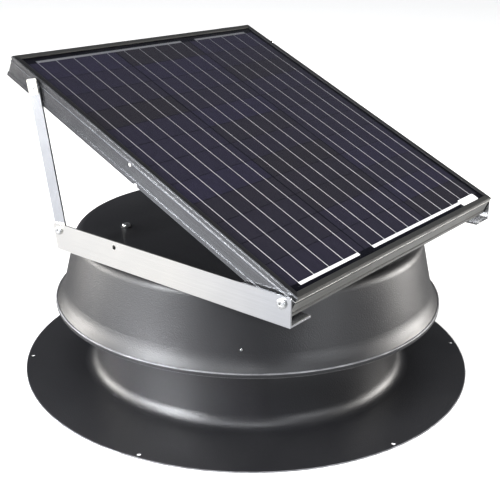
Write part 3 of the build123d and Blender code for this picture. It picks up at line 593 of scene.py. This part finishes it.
# ---------------------------------------------------------------- pieces
WALL_LEAN = radians(12.8)          # of the hood's wall
RIVET_SEAT = 0.0020                # from a screen screw's middle out to the wall
PLATE_HALF = (0.0105, 0.0098)      # of the plate over a strut's end, along and across the strut
PLATE_CORNER = 0.0015
STRUT_HEAD_RISE = 0.0032           # of the CAD bolt's head, out from its seat
EDGE_ANGLE = radians(28)           # a sharper fold than this is an edge to round
WELD = 0.000004                    # vertices this close are one
SLOTS = {name: node.data.materials[0].name for name, node in NODES.items()}
EASED = (
    [("rail_" + side, 0.00035) for side in ("left", "right")]
    + [("strut_" + side, 0.00035) for side in ("left", "right")]
    + [("frame_" + side, 0.00018) for side in ("left", "right", "front", "rear")]
    + [("hood_bracket_%d" % i, 0.0004) for i in (1, 2, 3, 4)]
    + [("motor_mount", 0.0004), ("rail_bolts", 0.0002), ("rail_nuts", 0.0003), ("bracket_nuts", 0.0003),
       ("hood_bolt_nuts", 0.0003), ("panel_nuts", 0.0003), ("pivot_spacers", 0.0003),
       ("corner_keys", 0.0003), ("junction_box", 0.0006),
       ("junction_box_lid", 0.0006), ("panel_label", 0.0001), ("hood_bolts", 0.0002),
       ("pivot_bolts", 0.0002), ("strut_foot_screws", 0.0002)]
)


def stand_in(name, mesh):
    """A finished piece in place of a CAD node, on its body and with its slot."""
    node = NODES[name]
    piece = bpy.data.objects.new(name + "_finished", mesh)
    bpy.context.scene.collection.objects.link(piece)
    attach(piece, body_of(node)[0])
    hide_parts(name)
    return piece


def eased(name, width):
    """A copy of a CAD part with its edges rounded over, as filed, folded or moulded edges are."""
    mesh = NODES[name].data.copy()
    shape = bmesh.new()
    shape.from_mesh(mesh)
    bmesh.ops.remove_doubles(shape, verts=shape.verts, dist=WELD)
    bmesh.ops.dissolve_limit(shape, angle_limit=radians(0.6), verts=shape.verts, edges=shape.edges)
    shape.to_mesh(mesh)
    shape.free()
    for layer in ("custom_normal", "sharp_face", "sharp_edge"):
        if layer in mesh.attributes:
            mesh.attributes.remove(mesh.attributes[layer])
    mesh.shade_smooth()
    mesh.set_sharp_from_angle(angle=EDGE_ANGLE)
    raw = bpy.data.objects.new("raw", mesh)
    bpy.context.scene.collection.objects.link(raw)
    bevel = raw.modifiers.new("edges", "BEVEL")
    bevel.limit_method = "ANGLE"
    bevel.angle_limit = EDGE_ANGLE
    bevel.width = width
    bevel.segments = 2
    bevel.harden_normals = True
    made = bpy.data.meshes.new_from_object(raw.evaluated_get(bpy.context.evaluated_depsgraph_get()))
    bpy.data.objects.remove(raw)
    return stand_in(name, made)


def turned(shape, place, rings, steps=48):
    """Adds a turned solid: rings of (radius, height, whether six-sided), from its foot to its middle."""
    loops = []
    for radius, height, flats in rings:
        loop = []
        for i in range(steps):
            a = tau * i / steps
            r = radius / cos((a + pi / 6) % (pi / 3) - pi / 6) if flats else radius
            loop.append(shape.verts.new(place @ Vector((r * cos(a), r * sin(a), height))))
        loops.append(loop)
    for low, high in zip(loops, loops[1:]):
        for i in range(steps):
            j = (i + 1) % steps
            shape.faces.new((low[i], low[j], high[j], high[i]))
    shape.faces.new(loops[-1])
    shape.faces.new(reversed(loops[0]))


def finished_mesh(shape, name):
    mesh = bpy.data.meshes.new(name)
    bmesh.ops.recalc_face_normals(shape, faces=shape.faces)
    shape.to_mesh(mesh)
    shape.free()
    mesh.shade_smooth()
    mesh.set_sharp_from_angle(angle=radians(35))
    return mesh


def domed_head(radius, rise, socket):
    """Rings of a button head with a rolled edge, a dome and a six-sided socket."""
    rings = [(radius * 0.97, 0.0, False), (radius, rise * 0.10, False), (radius, rise * 0.30, False)]
    for i in range(1, 7):
        a = i / 7 * pi / 2
        rings.append((socket + (radius - socket) * cos(a), rise * (0.30 + 0.70 * sin(a)), False))
    rings += [(socket * 1.22, rise, False), (socket, rise * 0.97, True), (socket, rise * 0.40, True)]
    return rings


def extents(name, count):
    """Low and high corners of each separate solid in a CAD node, found as loose parts of its mesh."""
    shape = bmesh.new()
    shape.from_mesh(NODES[name].data)
    bmesh.ops.remove_doubles(shape, verts=shape.verts, dist=WELD)
    left = set(shape.verts)
    found = []
    while left:
        part = [left.pop()]
        for vert in part:
            for edge in vert.link_edges:
                other = edge.other_vert(vert)
                if other in left:
                    left.remove(other)
                    part.append(other)
        corners = [[f(v.co[i] for v in part) for i in range(3)] for f in (min, max)]
        found.append((Vector(corners[0]), Vector(corners[1])))
    shape.free()
    assert len(found) == count, (name, len(found))
    return found


def towards(direction):
    return Vector(direction).to_track_quat("Z", "Y").to_matrix().to_4x4()


def add_screen_rivets(looks):
    """Small domed rivets low in the hood's wall, with their shanks through it."""
    shape = bmesh.new()
    for low, high in extents("screen_screws", 4):
        middle = (low + high) / 2
        out = Vector((middle.x, middle.y, 0)).normalized()
        out = (out * cos(WALL_LEAN) + Vector((0, 0, sin(WALL_LEAN)))).normalized()
        seat = middle + out * RIVET_SEAT
        place = Matrix.Translation(seat) @ towards(out)
        rings = [(0.0011, -0.005, False), (0.0012, -0.0046, False), (0.0012, 0.0, False)]
        rings += domed_head(0.0015, 0.0008, 0.0004)
        turned(shape, place, rings, 32)
    mesh = finished_mesh(shape, "screen_rivets")
    mesh.materials.append(looks["zinc_steel"].material)
    stand_in("screen_screws", mesh)


def add_strut_tops(looks):
    """Square plates over the struts' hooked ends, and the low bolts through them."""
    plates = bmesh.new()
    for low, high in extents("strut_top_washers", 2):
        middle = (low + high) / 2
        side = 1 if middle.x > 0 else -1
        inner = min(abs(low.x), abs(high.x)) * side
        outer = max(abs(low.x), abs(high.x)) * side
        along = (STRUT_FOOT - Vector((0, middle.y, middle.z))).normalized()
        across = Vector((0, -along.z, along.y))
        outline = []
        for cx, cy in ((1, 1), (-1, 1), (-1, -1), (1, -1)):
            for i in range(5):
                a = atan2(cy, cx) - pi / 4 + i / 4 * pi / 2
                u = cx * (PLATE_HALF[0] - PLATE_CORNER) + PLATE_CORNER * cos(a)
                v = cy * (PLATE_HALF[1] - PLATE_CORNER) + PLATE_CORNER * sin(a)
                outline.append(Vector((0, middle.y, middle.z)) + along * u + across * v)
        rows = [[plates.verts.new((x, p.y, p.z)) for p in outline] for x in (inner, outer)]
        count = len(outline)
        for i in range(count):
            j = (i + 1) % count
            plates.faces.new((rows[0][i], rows[0][j], rows[1][j], rows[1][i]))
        plates.faces.new(rows[0])
        plates.faces.new(rows[1])
    bmesh.ops.recalc_face_normals(plates, faces=plates.faces)
    rim = [e for e in plates.edges if abs(abs(e.calc_face_angle(0)) - pi / 2) < 0.3]
    bmesh.ops.bevel(plates, geom=rim, offset=0.00025, segments=2, affect="EDGES")
    mesh = finished_mesh(plates, "strut_top_plates")
    mesh.materials.append(looks["mill_aluminium"].material)
    stand_in("strut_top_washers", mesh)
    bolts = bmesh.new()
    for low, high in extents("strut_top_bolts", 2):
        middle = (low + high) / 2
        side = 1 if middle.x > 0 else -1
        outer = max(abs(low.x), abs(high.x)) - STRUT_HEAD_RISE
        inner = min(abs(low.x), abs(high.x))
        place = Matrix.Translation((outer * side, middle.y, middle.z)) @ towards((side, 0, 0))
        end = inner - outer
        rings = [(0.0024, end, False), (0.0028, end + 0.0006, False), (0.0028, 0.0, False)]
        rings += domed_head(0.0034, 0.0012, 0.0012)
        turned(bolts, place, rings)
    mesh = finished_mesh(bolts, "strut_top_bolts")
    mesh.materials.append(looks["zinc_steel"].material)
    stand_in("strut_top_bolts", mesh)


def add_pieces(looks):
    for name, width in EASED:
        eased(name, width)
    add_screen_rivets(looks)
    add_strut_tops(looks)


# ---------------------------------------------------------------- making
add_camera()
add_studio()
add_pieces(paint_nodes())
